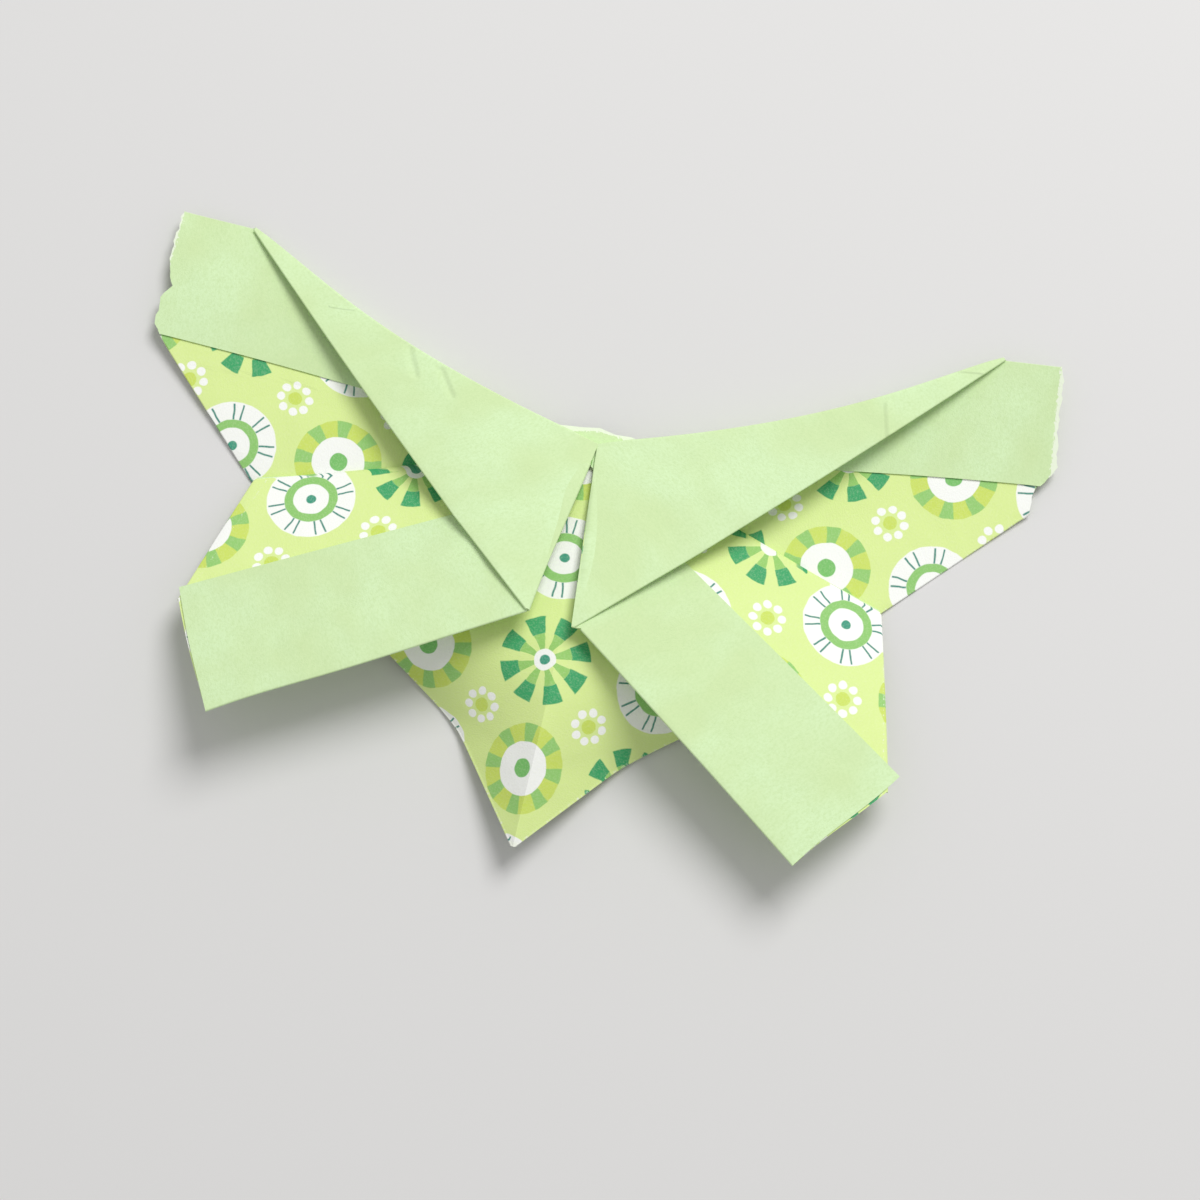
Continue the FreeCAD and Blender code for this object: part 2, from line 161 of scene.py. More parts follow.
def corner_at(side):
    """Sheet point where the narrow triangle's outer fold meets the hem fold."""
    return (side * hem_fold(side, CORNER[side]), CORNER[side])


def point_at(side):
    """Sheet point of the narrow triangle's lower point."""
    return (side * hem_fold(side, POINT[side]), POINT[side])


def unit(vector):
    """The vector divided by its length."""
    vector = np.asarray(vector, float)
    return vector / np.linalg.norm(vector, axis=-1, keepdims=True)


def turned(vector, axis, degrees):
    """Rodrigues' rotation: v cos a + (k x v) sin a + k (k.v)(1 - cos a)."""
    axis = unit(axis)
    angle = np.radians(degrees)
    vector = np.asarray(vector, float)
    return (vector * np.cos(angle) + np.cross(axis, vector) * np.sin(angle)
            + axis * (axis @ vector) * (1 - np.cos(angle)))


def smooth(t):
    """3t^2 - 2t^3 between 0 and 1."""
    t = np.clip(t, 0, 1)
    return t * t * (3 - 2 * t)


class Plane:
    """A flat part of the folded sheet: point = origin + (u - u0) a + (v - v0) b + lift n."""

    def __init__(self, sheet_a, sheet_b, place_a, place_b, normal, turned_over):
        along = unit(np.subtract(sheet_b, sheet_a))
        run = unit(np.subtract(place_b, place_a))
        across = np.cross(normal, run) * (1 if turned_over else -1)
        self.origin = np.asarray(place_a, float)
        self.at = np.asarray(sheet_a, float)
        self.a = run * along[0] - across * along[1]
        self.b = run * along[1] + across * along[0]
        self.normal = np.asarray(normal, float)

    def place(self, sheet, lift=0.0):
        """Places of the sheet points, lifted along the normal."""
        step = np.asarray(sheet, float) - self.at
        lift = np.asarray(lift, float)[..., None]
        return self.origin + step[..., :1] * self.a + step[..., 1:] * self.b + lift * self.normal


def ridge_side(side, sheet):
    """Centre flap: ridge(y) + x (outward cos r(y) - up(y) sin r(y)).

    The ridge is straight, then a circular arc, then straight again down to the tip, and the
    side's slope r steepens smoothly over STEEPEN.
    """
    x = side * sheet[..., 0]
    y = -sheet[..., 1]
    near, far = RIDGE_BEND
    drop = np.radians(DROP)
    radius = (far - near) / drop
    angle = np.clip((far - y) / radius, 0, drop)
    straight = np.maximum(near - y, 0)
    along = far + np.maximum(y - far, 0) - radius * np.sin(angle) - straight * np.cos(drop)
    height = -radius * (1 - np.cos(angle)) - straight * np.sin(drop)
    steep, gentle = STEEPEN
    slope = np.radians(ROOF[side] + (ROOF_TIP[side] - ROOF[side]) * smooth((gentle - y) / (gentle - steep)))
    zero = 0 * y
    ridge = np.stack([zero, along, height], -1)
    up = np.stack([zero, -np.sin(angle), np.cos(angle)], -1)
    outward = np.array([side, 0.0, 0.0])
    return ridge + x[..., None] * (np.cos(slope)[..., None] * outward - np.sin(slope)[..., None] * up)


def flap_place(side, sheet, lift=0.0):
    """The centre flap's surface, lifted along its normal from small central differences."""
    sheet = np.asarray(sheet, float)
    step = 0.05
    du = ridge_side(side, sheet + [step, 0]) - ridge_side(side, sheet - [step, 0])
    dv = ridge_side(side, sheet + [0, step]) - ridge_side(side, sheet - [0, step])
    return ridge_side(side, sheet) + unit(np.cross(dv, du)) * np.asarray(lift, float)[..., None]


HEAD_PLACE = np.array([0.0, HEAD, 0.0])


def wing_planes(side):
    """Planes of the forewing and the hindwing, both hinged on the line from the head to the notch."""
    notch = NOTCH[side]
    notch_place = ridge_side(side, np.array([side * notch, -float(notch)]))
    hinge = unit(notch_place - HEAD_PLACE)
    flap_normal = turned((0, 0, 1), (0, 1, 0), side * ROOF[side])
    fore_normal = turned(flap_normal, hinge, side * WING_BEND[side])
    hind_normal = turned(fore_normal, hinge, -side * HIND_LIFT[side])
    head_at = (side * HEAD, 0)
    forewing_plane = Plane(head_at, (side * notch, notch), HEAD_PLACE, notch_place, fore_normal, False)
    hindwing_plane = Plane(head_at, (side * notch, -notch), HEAD_PLACE, notch_place, hind_normal, False)
    return forewing_plane, hindwing_plane


fore, hind = {}, {}
for side in SIDES:
    fore[side], hind[side] = wing_planes(side)


def hinge_rise(side, sheet, way, curl, twist):
    """Rise of a wing over its plane: curl (d/R)^2 + twist (d/R) (a - TWIST_MIDDLE)/R.

    R is RISE_AT, d is the distance on the sheet from the wing's hinge, the line from the head to the
    notch, and a is the way along that line from the head.
    """
    line = unit((side * (NOTCH[side] - HEAD), way * NOTCH[side]))
    step = np.asarray(sheet, float) - (side * HEAD, 0)
    away = np.abs(step[..., 0] * line[1] - step[..., 1] * line[0]) / RISE_AT
    return curl[side] * away ** 2 + twist[side] * away * (step @ line - TWIST_MIDDLE) / RISE_AT


def bowed(side, sheet, way):
    """Sheet points beside the forewing's front fold, moved from it by 4 p (1 - p) BOW.

    p runs from the head to the hem fold.  The move fades over BOW_REACH, and on the narrow triangle
    it also fades toward the hem fold.  `way` is 1 on the forewing's side of the front fold and -1 on
    the narrow triangle's.
    """
    start = np.array([side * HEAD, 0.0])
    line = np.array(corner_at(side)) - start
    length = np.linalg.norm(line)
    line = line / length
    inward = np.array([-line[1], line[0]]) * side * way
    step = np.asarray(sheet, float) - start
    p = np.clip(step @ line / length, 0, 1)
    out = np.clip((np.abs(sheet[..., 0]) - HEAD) / (hem_fold(side, sheet[..., 1]) - HEAD), 0, 1)
    fade = np.exp(-((step @ inward) / BOW_REACH) ** 2) * (1 - out ** 6 if way < 0 else 1)
    return sheet + inward * (4 * p * (1 - p) * BOW[side] * fade)[..., None]


def fore_place(side, sheet, lift=0.0):
    """Forewing: its plane, curled and twisted, with the slip growing over FORE_SLIP_START."""
    rise = hinge_rise(side, sheet, 1, FORE_CURL, FORE_TWIST)
    from_head = np.linalg.norm(np.asarray(sheet, float) - (side * HEAD, 0), axis=-1)
    slipped = (FORE_SLIP[side] * smooth(from_head / FORE_SLIP_START))[..., None] * (0, 1)
    return fore[side].place(bowed(side, sheet, 1) + slipped, lift + rise)


def slip(side, sheet):
    """Move of the hindwing from the exact fold: SLIP along u and v, and a turn about the notch.

    It fades out between the two distances of SLIP_END_U and of SLIP_END_V.
    """
    along_u, along_v, turn = SLIP[side]
    near, far = SLIP_END_U
    high, low = SLIP_END_V
    step = np.radians(turn) * (np.asarray(sheet, float) - (side * NOTCH[side], -NOTCH[side]))
    fade = 1 - smooth((np.abs(sheet[..., 0]) - near) / (far - near))
    fade = fade * smooth((-low - sheet[..., 1]) / (high - low))
    return np.stack([along_u - step[..., 1], along_v + step[..., 0]], -1) * fade[..., None]


def hind_place(side, sheet, lift=0.0):
    """Hindwing: its plane, slipped, curled and twisted.

    On the left one a ridge of height h exp(-(d / w)^2) is added, d being the distance across it.
    """
    rise = hinge_rise(side, sheet, -1, HIND_CURL, HIND_TWIST)
    if side < 0:
        step = np.asarray(sheet, float) - RIDGE_AT
        across = step[..., 0] * RIDGE_WAY[1] - step[..., 1] * RIDGE_WAY[0]
        start, full = RIDGE_GROWS
        grown = np.clip((-sheet[..., 0] - start) / (full - start), 0, 1)
        rise = rise + RIDGE_HEIGHT * np.exp(-(across / RIDGE_WIDE) ** 2) * grown
    return hind[side].place(sheet + slip(side, sheet), lift + rise)


def narrow_plane(side):
    """Plane of the narrow triangle, through the head, the forewing's corner and its own lower point."""
    crown = HEAD_PLACE + np.array([side * APART, 0, 4 * PITCH])
    corner_place = fore_place(side, np.array(corner_at(side)), PITCH)
    point_place = hind_place(side, np.array(point_at(side)), 5 * PITCH)
    normal = unit(np.cross(corner_place - crown, point_place - crown))
    normal = normal * np.sign(normal[2])
    return Plane((side * HEAD, 0), corner_at(side), crown, corner_place, normal, True)


narrow = {side: narrow_plane(side) for side in SIDES}


def narrow_place(side, sheet, lift=0.0):
    """Narrow triangle: its plane, bowed and hanging.

    Its free edge, the hem fold, hangs by SAG sin(pi t) between its corners, and the old median crease
    sinks by MEDIAN exp(-|v| / MEDIAN_REACH).
    """
    sheet = bowed(side, sheet, -1)
    t = np.clip((CORNER[side] - sheet[..., 1]) / (CORNER[side] - POINT[side]), 0, 1)
    out = np.clip((np.abs(sheet[..., 0]) - HEAD) / (hem_fold(side, sheet[..., 1]) - HEAD), 0, 1)
    hang = SAG[side] * np.sin(np.pi * t) * out ** 2
    valley = MEDIAN[side] * np.exp(-np.abs(sheet[..., 1]) / MEDIAN_REACH) * out
    return narrow[side].place(sheet, lift - hang - valley)


# Which sheet point lies at a place of the flat fold -------------------------------------------

def as_is(side, sheet):
    """Facets that are named by their own sheet points."""
    return sheet


def behind_diagonal(side, sheet):
    """Across the diagonal fold: the distances along u and v change places, in the clean half."""
    return np.stack([-side * sheet[..., 1], -side * sheet[..., 0]], -1)


def behind_median(side, sheet):
    """The same in the torn half, for the layer that the median fold leads to."""
    return np.stack([-side * sheet[..., 1], side * sheet[..., 0]], -1)


def at_back(side, sheet):
    """The back layer of the centre flap mirrors the front one."""
    return np.stack([sheet[..., 0], -sheet[..., 1]], -1)


def behind_forewing(side, sheet):
    """The back layer of the forewing, across the diagonal fold of the torn half."""
    return np.stack([side * sheet[..., 1], side * sheet[..., 0]], -1)


def past_hem(side, sheet):
    """The hem, mirrored in the line of its fold."""
    low = np.array([side * hem_fold(side, -HALF), -HALF])
    line = unit(np.array([side * hem_fold(side, HALF), HALF]) - low)
    step = sheet - low
    return low + 2 * (step @ line)[..., None] * line - step


# Facets and folds -------------------------------------------------------------------------------

EDGES = {"s0": np.s_[:, 0], "s1": np.s_[:, -1], "t0": np.s_[0, :], "t1": np.s_[-1, :]}
INNER = {"s0": np.s_[:, 1], "s1": np.s_[:, -2], "t0": np.s_[1, :], "t1": np.s_[-2, :]}


def fine(x):
    """Raggedness of the tear along its length x: three sines."""
    return RAGGED * (np.sin(1.9 * x) + 0.7 * np.sin(4.3 * x) + 0.5 * np.sin(9.1 * x))


def torn_v(side, u):
    """v of the torn edge at the forewing's tip: straight between the points of TEAR, and ragged."""
    return np.interp(np.abs(u), *TEAR[side]) + fine(u)


def tip_tear(side, sheet):
    """Move that brings a straight edge to the tear across the forewing's tip."""
    return np.stack([0 * sheet[..., 0], torn_v(side, sheet[..., 0]) - TEAR[side][1][-1]], -1)


def under_tear(side, sheet):
    """The same for the layer below the hem, which ends a little short of the hem on it."""
    along = np.clip((np.abs(sheet[..., 0]) - TORN_FOLD[side][0]) / TEAR_GROWS, 0, 1)
    short = torn_v(side, sheet[..., 0]) - TEAR_SHORT - np.maximum(sheet[..., 1], TIP_V)
    return np.stack([0 * along, along * short], -1)


def head_tear(side, sheet):
    """The same behind the head, where the layer lies a quarter turn round."""
    return np.stack([side * fine(sheet[..., 1] + 3 * side), 0 * sheet[..., 0]], -1)


def facet(side, corners, place, level, unfold, torn=None):
    """Bilinear grid over four sheet corners: (1-s)(1-t) A + s(1-t) B + s t C + (1-s) t D.

    A torn edge is the one from D to C, and `torn` gives its move along u and v.  The move grows from
    nothing over the last seventh before that edge.
    """
    s, t = np.meshgrid(np.linspace(0, 1, GRID + 1), np.linspace(0, 1, GRID + 1), indexing="ij")
    weights = np.stack([(1 - s) * (1 - t), s * (1 - t), s * t, (1 - s) * t], -1)
    sheet = weights @ np.asarray(corners, float)
    if torn is not None:
        sheet = sheet + torn(side, sheet) * np.clip(7 * t - 6, 0, 1)[..., None]
    return {"points": place(side, sheet, level * PITCH), "sheet": unfold(side, sheet)}


def meet(first, edge_a, second, edge_b):
    """Two facets that meet in a soft bend share the middle of their two edges."""
    middle = (first["points"][EDGES[edge_a]] + second["points"][EDGES[edge_b]]) / 2
    first["points"][EDGES[edge_a]] = middle
    second["points"][EDGES[edge_b]] = middle


def outward(grid, edge):
    """The mean direction in which a facet ends at an edge."""
    return unit((grid["points"][EDGES[edge]] - grid["points"][INNER[edge]]).mean(axis=0))


def fold(first, edge_a, second, edge_b):
    """Half-round turn from one edge to the other: m + h cos w + out r sin w, with r at most BULGE.

    r shrinks to nothing over HEAD_CLOSE before the head, where the folds run together.
    """
    a = first["points"][EDGES[edge_a]]
    b = second["points"][EDGES[edge_b]]
    sheet_a = first["sheet"][EDGES[edge_a]]
    sheet_b = second["sheet"][EDGES[edge_b]]
    out = unit(outward(first, edge_a) + outward(second, edge_b))
    angle = np.linspace(0, np.pi, ROUND + 1)
    middle = ((a + b) / 2)[:, None]
    half = ((a - b) / 2)[:, None]
    reach = np.minimum(np.linalg.norm(half, axis=-1, keepdims=True), BULGE)
    reach = reach * np.minimum(np.linalg.norm(middle - HEAD_PLACE, axis=-1, keepdims=True) / HEAD_CLOSE, 1)
    points = middle + half * np.cos(angle)[None, :, None] + out * reach * np.sin(angle)[None, :, None]
    points[:, 0] = a
    points[:, -1] = b
    blend = (angle / np.pi)[None, :, None]
    return {"points": points, "sheet": sheet_a[:, None] * (1 - blend) + sheet_b[:, None] * blend}


def crossing(side, start, end):
    """Where the hem's raw edge crosses the fold from start to end."""
    before = abs(start[0]) - hem_raw(side, start[1])
    after = abs(end[0]) - hem_raw(side, end[1])
    t = before / (before - after)
    return (start[0] + (end[0] - start[0]) * t, start[1] + (end[1] - start[1]) * t)


def half_points(side):
    """Sheet points of one half where its folds, its hem and its edges meet."""
    head = (side * HEAD, 0)
    corner = corner_at(side)
    point = point_at(side)
    far_v = TEAR[side][1][-1]
    return SimpleNamespace(
        head=head,
        corner=corner,
        point=point,
        raw_high=crossing(side, head, corner),
        raw_low=crossing(side, head, point),
        near=(side * TORN_FOLD[side][0], TORN_FOLD[side][1]),
        torn_far=(side * hem_fold(side, far_v), far_v),
        torn_raw=(side * RAW_TORN[side], far_v),
        cut=(side * (HALF - CUT_SHIFT), -HALF - CUT_SHIFT),
        hem_low=(side * hem_fold(side, -CUT_FAR[side]), -CUT_FAR[side]),
        raw_end=(side * RAW_CUT[side], -HALF))


def centre_flap(side):
    """Printed front, its lining, and two layers behind; the inner two stop at the axis."""
    n = NOTCH[side]
    axis = side * NEST
    outside = [(0, 0), (0, -HEAD), (side * n, -n), (0, 0)]
    printed_side = [(0, 0), (0, NEST - HEAD), (side * (n - NEST), NEST - n), (0, 0)]
    inside = [(axis, -NEST), (axis, -HEAD), (side * n, -n), (axis, -NEST)]
    return {"front": facet(side, printed_side, flap_place, 0, as_is),
            "lining": facet(side, inside, flap_place, -1, behind_diagonal),
            "inner": facet(side, inside, flap_place, -2, behind_median),
            "back": facet(side, outside, flap_place, -3, at_back)}


def forewing(side, at):
    """Print in front, from the centre flap to the tip, the layer behind it, and the hem on the print."""
    notch = (side * NOTCH[side], NOTCH[side])
    root = [at.head, notch, at.near, at.head]
    tip = [at.head, at.corner, at.torn_far, at.near]
    behind = [at.head, notch, at.near, (side * TORN_HEAD[side], 0)]
    hem = [at.raw_high, at.corner, at.torn_far, at.torn_raw]
    return {"wing_root": facet(side, root, fore_place, -2, as_is),
            "wing": facet(side, tip, fore_place, -2, as_is, under_tear),
            "wing_back": facet(side, behind, fore_place, -3, behind_forewing, head_tear),
            "wing_hem": facet(side, hem, fore_place, -1, past_hem, tip_tear)}


def narrow_triangle(side, at):
    """The plain side beside the head, with its hem beneath."""
    whole = [at.head, at.corner, at.point, at.head]
    hem = [at.raw_high, at.corner, at.point, at.raw_low]
    return {"plain": facet(side, whole, narrow_place, 0, as_is),
            "plain_hem": facet(side, hem, narrow_place, -1, past_hem)}


def hindwing(side, at):
    """Print on top, the front corner of the sheet behind it, and the hem on the print.

    They start at the sheet points that the slip brings onto the hinge.
    """
    n = NOTCH[side]
    hinge = [at.head, (side * n, -n), (side * (HEAD - NEST), 0), (side * (n - NEST), NEST - n)]
    at_head, at_notch, under_head, under_notch = [end - slip(side, end) for end in np.array(hinge, float)]
    root = [at_head, at_notch, at.cut, at_head]
    tip = [at_head, at.point, at.hem_low, at.cut]
    behind = [under_head, under_notch, at.cut, (side * HALF, -TUCK)]
    hem = [at.raw_low, at.point, at.hem_low, at.raw_end]
    return {"tail_root": facet(side, root, hind_place, 2, as_is),
            "tail_wing": facet(side, tip, hind_place, 2, as_is),
            "under": facet(side, behind, hind_place, 1, behind_diagonal),
            "band": facet(side, hem, hind_place, 3, past_hem)}


# The folds of one half: a facet and its edge, and the facet and edge that the fold leads to
FOLDS = (
    ("wing", "t1", "wing_hem", "t1"),
    ("wing_root", "t1", "wing_back", "t1"),
    ("wing", "s0", "plain", "s0"),
    ("wing_hem", "s0", "plain_hem", "s0"),
    ("plain", "t1", "plain_hem", "t1"),
    ("plain", "s1", "tail_wing", "s0"),
    ("plain_hem", "s1", "band", "s0"),
    ("tail_wing", "t1", "band", "t1"),
    ("tail_root", "t1", "under", "t1"),
    ("tail_root", "s0", "lining", "t1"),
    ("under", "s0", "front", "t1"),
    ("front", "s1", "lining", "s1"),
    ("lining", "s0", "inner", "s0"),
    ("inner", "s1", "back", "s1"),
)

halves = []
for side in SIDES:
    at = half_points(side)
    half = {**centre_flap(side), **forewing(side, at), **narrow_triangle(side, at), **hindwing(side, at)}
    meet(half["inner"], "t1", half["wing_root"], "s0")
    meet(half["back"], "t1", half["wing_back"], "s0")
    halves.append(half)
left, right = halves
meet(left["back"], "s0", right["back"], "s0")
meet(left["wing_back"], "t0", right["wing_back"], "t0")
grids = [*left.values(), *right.values()]
for half in halves:
    grids += [fold(half[first], edge_a, half[second], edge_b) for first, edge_a, second, edge_b in FOLDS]
grids.append(fold(left["under"], "t0", right["under"], "t0"))


# The floor under the fold ------------------------------------------------------------------------

feet = [flap_place(-1, np.array([-TAIL_FOOT, -TAIL_FOOT]), -3 * PITCH),
        fore_place(-1, np.array(LEFT_FOOT), -2 * PITCH),
        fore_place(1, np.array(RIGHT_FOOT), -3 * PITCH)]
floor_normal = unit(np.cross(feet[2] - feet[0], feet[1] - feet[0]))
floor_normal = floor_normal * np.sign(floor_normal[2])


def settled(points):
    """Points turned so that the floor plane through the three feet is level."""
    axis = np.cross(floor_normal, (0, 0, 1))
    sine = np.linalg.norm(axis)
    axis = axis / sine
    cosine = floor_normal[2]
    along = (points @ axis)[..., None] * axis
    return points * cosine + np.cross(axis, points) * sine + along * (1 - cosine)


# One mesh of the whole sheet's middle surface ------------------------------------------------------

def quads(rows, columns, start):
    """Corner numbers of every cell of a rows by columns grid whose first vertex is `start`."""
    first = start + np.arange(rows - 1)[:, None] * columns + np.arange(columns - 1)
    return np.stack([first, first + 1, first + columns + 1, first + columns], -1).reshape(-1, 4)


points, sheets, faces = [], [], []
count = 0
for grid in grids:
    rows, columns = grid["points"].shape[:2]
    points.append(settled(grid["points"]).reshape(-1, 3))
    sheets.append(grid["sheet"].reshape(-1, 2))
    faces.append(quads(rows, columns, count))
    count += rows * columns
points = np.concatenate(points)
sheets = np.concatenate(sheets)
faces = np.concatenate(faces)

# Centred over the CAD sheet, with the paper's lower face on the floor
low, high = (np.array(place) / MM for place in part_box("folded_sheet"))
shift = (low + high) / 2 - (points.min(axis=0) + points.max(axis=0)) / 2
shift[2] = low[2] + THICK / 2 - points[:, 2].min()
points = points + shift

mesh = bpy.data.meshes.new("paper_butterfly")
mesh.from_pydata((points * MM).tolist(), [], faces.tolist())

# Each vertex knows its place on the flat sheet, and how far inside the torn edge it lies, in mm
flat = mesh.attributes.new("sheet", "FLOAT_VECTOR", "POINT")
spread = np.abs(sheets[:, 0])
tear = np.where(sheets[:, 0] < 0, np.interp(spread, *TEAR[-1]), np.interp(spread, *TEAR[1]))
tear = np.where(spread < TIP_U, HALF, tear)
flat.data.foreach_set("vector", np.column_stack([sheets, tear - sheets[:, 1]]).ravel())

# The first facet is the printed front of the centre flap, which faces up
shell = bmesh.new()
shell.from_mesh(mesh)
bmesh.ops.remove_doubles(shell, verts=shell.verts, dist=MERGE * MM)
bmesh.ops.recalc_face_normals(shell, faces=shell.faces)
shell.faces.ensure_lookup_table()
if shell.faces[GRID * GRID // 2].normal.z < 0:
    bmesh.ops.reverse_faces(shell, faces=shell.faces)
shell.to_mesh(mesh)
shell.free()


# Paper: its two sides, drawn in sheet points ------------------------------------------------------

# Noise scales are cells per mm: a grain 0.3 mm wide, fibres 0.4, specks 0.5, the print's waver 2,
# cockles 8 and soft patches 14 mm
GRAIN_SCALE = 3.2
FIBRE_SCALE = 2.6
SPECK_SCALE = 1.9
WAVER_SCALE = 0.45
COCKLE_SCALE = 0.12
PATCH_SCALE = 0.07
GRAIN_HIGH = 0.05                  # heights of the grain and the cockles, mm
COCKLE_HIGH = 0.3
FIBRES_WIDE = 0.05                 # width of the tear's white fibres past their ragged line, mm
RUBBED_WIDE = 0.12                 # half-width of the rub along a diagonal fold, mm
FRAYED_TIP = 0.5                   # size of the bare spot at the tail tip, mm


def srgb(code):
    """Linear colour of an sRGB hex value: ((c + 0.055) / 1.055)^2.4, or c / 12.92 when dark."""
    levels = [int(code[i:i + 2], 16) / 255 for i in (1, 3, 5)]
    return tuple(c / 12.92 if c <= 0.04045 else ((c + 0.055) / 1.055) ** 2.4 for c in levels) + (1.0,)


def add(tree, kind, inputs, out=0, **settings):
    """Adds one node with its settings; each input is a value or the socket that feeds it."""
    node = tree.nodes.new(kind)
    for name, value in settings.items():
        setattr(node, name, value)
    for key, value in inputs.items():
        if isinstance(value, bpy.types.NodeSocket):
            tree.links.new(value, node.inputs[key])
        else:
            node.inputs[key].default_value = value
    return node.outputs[out] if node.outputs else node


# In what follows, a Map Range from size + softness down to size - softness is a mask that is 1 where
# a distance is under the size, and a Mix lays a colour over the one below where its mask is 1

def wear(tree, sheet_point):
    """Mask of the tear's white fibres, the rubbed diagonal folds and the frayed tail tip."""
    parts = add(tree, "ShaderNodeSeparateXYZ", {0: sheet_point}).node.outputs
    grain = add(tree, "ShaderNodeTexNoise", {"Vector": sheet_point, "Scale": FIBRE_SCALE, "Detail": 3.0})
    ragged = add(tree, "ShaderNodeMath", {0: grain, 1: 1.2, 2: -0.44}, operation="MULTIPLY_ADD")
    inside = add(tree, "ShaderNodeMath", {0: parts[2], 1: ragged}, operation="SUBTRACT")
    fibres = add(tree, "ShaderNodeMapRange", {0: inside, 1: FIBRES_WIDE + 0.06, 2: FIBRES_WIDE - 0.06})
    fibres = add(tree, "ShaderNodeMath", {0: fibres, 1: 0.8}, operation="MULTIPLY")
    across = add(tree, "ShaderNodeMath", {0: parts[0]}, operation="ABSOLUTE")
    along = add(tree, "ShaderNodeMath", {0: parts[1]}, operation="ABSOLUTE")
    diagonal = add(tree, "ShaderNodeMath", {0: across, 1: along}, operation="SUBTRACT")
    diagonal = add(tree, "ShaderNodeMath", {0: diagonal}, operation="ABSOLUTE")
    rubbed = add(tree, "ShaderNodeMapRange", {0: diagonal, 1: RUBBED_WIDE + 0.08, 2: RUBBED_WIDE - 0.08})
    patchy = add(tree, "ShaderNodeMapRange", {0: grain, 1: 0.52, 2: 0.66, 4: 0.7})
    rubbed = add(tree, "ShaderNodeMath", {0: rubbed, 1: patchy}, operation="MULTIPLY")
    frayed = add(tree, "ShaderNodeMath", {0: across, 1: along}, operation="MAXIMUM")
    frayed = add(tree, "ShaderNodeMath", {0: frayed, 1: ragged}, operation="SUBTRACT")
    frayed = add(tree, "ShaderNodeMapRange", {0: frayed, 1: FRAYED_TIP + 0.2, 2: FRAYED_TIP - 0.2})
    rubbed = add(tree, "ShaderNodeMath", {0: rubbed, 1: frayed}, operation="MAXIMUM")
    return add(tree, "ShaderNodeMath", {0: fibres, 1: rubbed}, operation="MAXIMUM")


def tooth(tree, sheet_point, marks=0.0):
    """Normal of the paper's surface: fine grain on soft cockles, with the marks' height added."""
    grain = add(tree, "ShaderNodeTexNoise", {"Vector": sheet_point, "Scale": GRAIN_SCALE, "Detail": 4.0,
                                             "Roughness": 0.6})
    cockle = add(tree, "ShaderNodeTexNoise", {"Vector": sheet_point, "Scale": COCKLE_SCALE, "Detail": 1.0})
    height = add(tree, "ShaderNodeMath", {0: grain, 1: GRAIN_HIGH, 2: marks}, operation="MULTIPLY_ADD")
    height = add(tree, "ShaderNodeMath", {0: cockle, 1: COCKLE_HIGH, 2: height}, operation="MULTIPLY_ADD")
    return add(tree, "ShaderNodeBump", {"Height": height, "Strength": 1.0, "Distance": MM}, out="Normal")


def blank_paper(name):
    """A material, its empty node tree, and the socket that carries the sheet point."""
    paper = bpy.data.materials.new(name)
    paper.use_nodes = True
    tree = paper.node_tree
    tree.nodes.clear()
    return paper, tree, add(tree, "ShaderNodeAttribute", {}, out="Vector", attribute_name="sheet")


def shade(tree, colour, roughness, specular, normal):
    """Gives the material its colour and finish."""
    shaded = add(tree, "ShaderNodeBsdfPrincipled", {"Base Color": colour, "Roughness": roughness,
                                                    "Specular IOR Level": specular, "Normal": normal})
    add(tree, "ShaderNodeOutputMaterial", {"Surface": shaded})


# The print repeats on a rectangular lattice of roundels, with a daisy in the middle of each cell
LATTICE_AT = (-1.55, -11.2)        # a roundel's centre on the sheet, mm
LATTICE_STEP = (17.75, -16.25)     # to the next one along u and along v, mm
EDGE = 0.07                        # softness of a printed edge, mm
WEDGE_EDGE = 0.015                 # the same for the sides of a wedge, in radians
WAVER = 0.35                       # how far the print wanders, mm
GROUND = "#DFF39C"
WHITE = "#FDFEFA"
TEAL = "#3E9C80"
EIGHTH = np.pi / 4
# What is printed in each kind of roundel, from the bottom up, sizes in mm:
# ("disc", radius, colour), ("wedges", angle of the first of eight, half-angle, from radius, to
# radius, colour) and ("ticks", angle of the first of eight pairs, half-angle between the two of a
# pair, half-width, from radius, to radius, colour)
ROUNDELS = (
    (("disc", 6.6, "#D0E468"),
     ("wedges", 0.0, 0.17, 3.9, 6.62, "#98D074"),
     ("disc", 3.98, WHITE),
     ("disc", 1.4, "#7CC46C")),
    (("wedges", EIGHTH / 2, 0.21, 1.6, 4.0, "#9AD06E"),
     ("wedges", EIGHTH / 2, 0.23, 4.0, 6.75, "#3EA86A"),
     ("disc", 1.62, WHITE),
     ("disc", 0.75, TEAL)),
    (("disc", 6.65, WHITE),
     ("ticks", 0.0, 0.118, 0.14, 4.0, 6.4, "#3F8C7C"),
     ("disc", 3.98, "#92CC72"),
     ("disc", 2.68, WHITE),
     ("disc", 0.75, TEAL)),
)
DAISY_HEART = (1.08, "#CFE465")    # radius in mm, and colour
PETAL_RING = 2.2                   # distance of its eight white dots from the middle, mm
PETAL = 0.66                       # radius of each dot, mm
THIN_INK = "#F2F8D8"
RUBBED_INK = "#F6F9EC"


